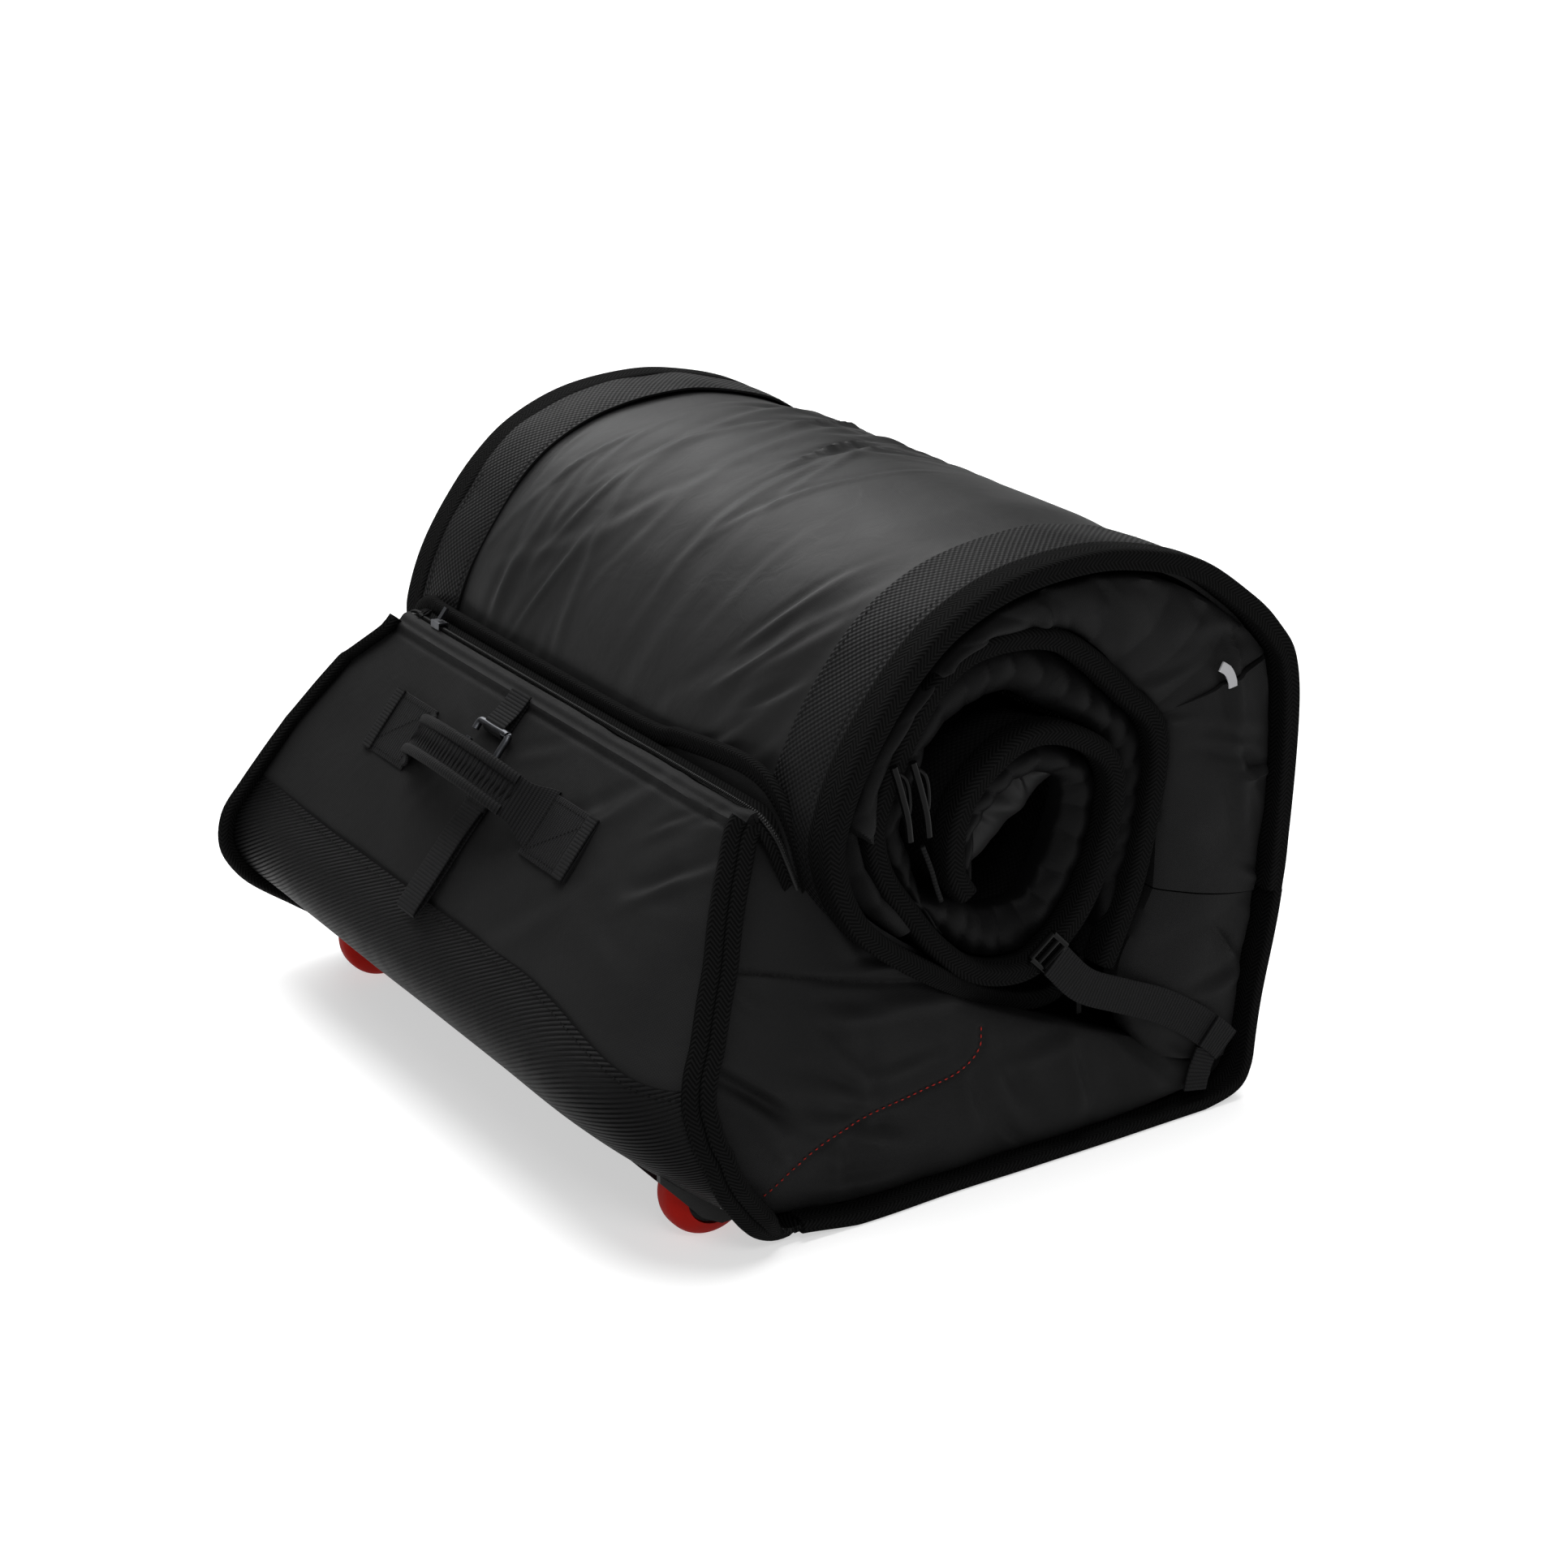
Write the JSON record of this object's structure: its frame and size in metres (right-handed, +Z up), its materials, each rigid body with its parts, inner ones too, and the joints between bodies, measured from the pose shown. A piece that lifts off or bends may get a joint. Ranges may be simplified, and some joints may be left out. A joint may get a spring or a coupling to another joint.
{
  "type": "wheeled padded board travel bag, rolled up",
  "caption": "Padded travel bag for boards, rolled up for storage, with a wheeled tail end, carry handle, hook strap and unrolling body.",
  "frame": {"origin": "bottom centre of the rolled bag, on the floor", "axes": "+Z up, +Y along the roll and across the bag, -X towards the wheel end"},
  "size_m": [0.514, 0.56, 0.412],
  "materials": {
    "nylon": "coated nylon, slight sheen",
    "twill": "twill binding tape",
    "webbing": "ribbed webbing",
    "band": "ribbed ballistic scuff fabric",
    "lining": "quilted lining",
    "plastic": "moulded",
    "gloss": "gloss black",
    "urethane": "red urethane, satin",
    "steel": "plated",
    "gunmetal": "dark plated"
  },
  "bodies": {
    "tail": {"floor_panel": "nylon", "tail_gusset_near": "nylon", "tail_gusset_far": "nylon", "tail_lid": "lining", "lid_edge_flap": "twill", "scuff_band": "band", "end_panel": "nylon", "end_stiffener": "plastic", "wheel_base_tray": "plastic", "wheel_housing_near": "plastic", "wheel_housing_far": "plastic", "axle_bolt_near": "steel", "axle_bolt_far": "steel", "axle_nut_near": "steel", "axle_nut_far": "steel", "handle_patch_near": "webbing", "handle_patch_far": "webbing", "tab_loop_anchor": "webbing", "zip_tape": "twill", "zip_coil": "plastic"},
    "wheel_near": {"wheel_tyre_near": "urethane", "wheel_hub_near": "plastic", "bearing_near_outer": "steel", "bearing_near_inner": "steel", "bearing_spacer_near": "steel"},
    "wheel_far": {"wheel_tyre_far": "urethane", "wheel_hub_far": "plastic", "bearing_far_outer": "steel", "bearing_far_inner": "steel", "bearing_spacer_far": "steel"},
    "handle": {"handle_strap": "webbing"},
    "hook_strap": {"hook_strap": "webbing"},
    "hook": {"g_hook": "gunmetal"},
    "tab": {"tab_loop": "webbing"},
    "slider": {"zip_slider": "gunmetal"},
    "pull": {"zip_pull": "gunmetal"},
    "back": {"back_panel": "nylon", "back_gusset_near": "nylon", "back_gusset_far": "nylon", "back_lid": "lining"},
    "tag": {"pull_tag": "steel"},
    "roll": {"top_panel": "nylon", "front_panel": "nylon", "roll_gusset_near": "nylon", "roll_gusset_far": "nylon", "roll_lid": "lining", "inner_turn": "nylon", "core_loop": "nylon", "core_pad": "lining", "compression_strap": "webbing", "ladder_buckle": "gloss", "hook_cord": "webbing", "inner_hook_1": "gloss", "inner_hook_2": "gloss"}
  },
  "joints": [
    {"name": "wheel_spin_near", "type": "hinge", "parent": "tail", "child": "wheel_near", "pos_m": [-0.172, -0.228, 0.032], "axis": [0, 1, 0], "continuous": true},
    {"name": "wheel_spin_far", "type": "hinge", "parent": "tail", "child": "wheel_far", "pos_m": [-0.172, 0.228, 0.032], "axis": [0, 1, 0], "continuous": true},
    {"name": "back_unroll", "type": "hinge", "parent": "tail", "child": "back", "pos_m": [0.227, 0, 0.01], "axis": [0, 1, 0], "range_deg": [0, 80]},
    {"name": "top_unroll", "type": "hinge", "parent": "back", "child": "roll", "pos_m": [0.231, 0, 0.342], "axis": [0, 1, 0], "range_deg": [0, 90]},
    {"name": "handle_swing", "type": "hinge", "parent": "tail", "child": "handle", "pos_m": [-0.18571, 0, 0.22111], "axis": [0, 1, 0], "range_deg": [-45, 25]},
    {"name": "hook_strap_lift", "type": "hinge", "parent": "tail", "child": "hook_strap", "pos_m": [-0.1427, 0, 0.26795], "axis": [0, 1, 0], "range_deg": [0, 110]},
    {"name": "hook_swing", "type": "hinge", "parent": "hook_strap", "child": "hook", "pos_m": [-0.16107, 0, 0.24874], "axis": [0, 1, 0], "range_deg": [0, 75]},
    {"name": "tab_lift", "type": "hinge", "parent": "tail", "child": "tab", "pos_m": [-0.19672, 0, 0.20944], "axis": [0, 1, 0], "range_deg": [0, 90]},
    {"name": "zip_travel", "type": "slide", "parent": "tail", "child": "slider", "axis": [0, -1, 0], "range_m": [0, 0.385]},
    {"name": "zip_pull_flip", "type": "hinge", "parent": "slider", "child": "pull", "pos_m": [-0.129, 0.192, 0.28], "axis": [0, 1, 0], "range_deg": [-110, 0]},
    {"name": "pull_tag_swing", "type": "hinge", "parent": "back", "child": "tag", "pos_m": [0.183, -0.2775, 0.328], "axis": [0, 1, 0], "range_deg": [-30, 35]}
  ],
  "couplings": [
    {"joint": "top_unroll", "follows": "back_unroll", "ratio": 1.1}
  ]
}
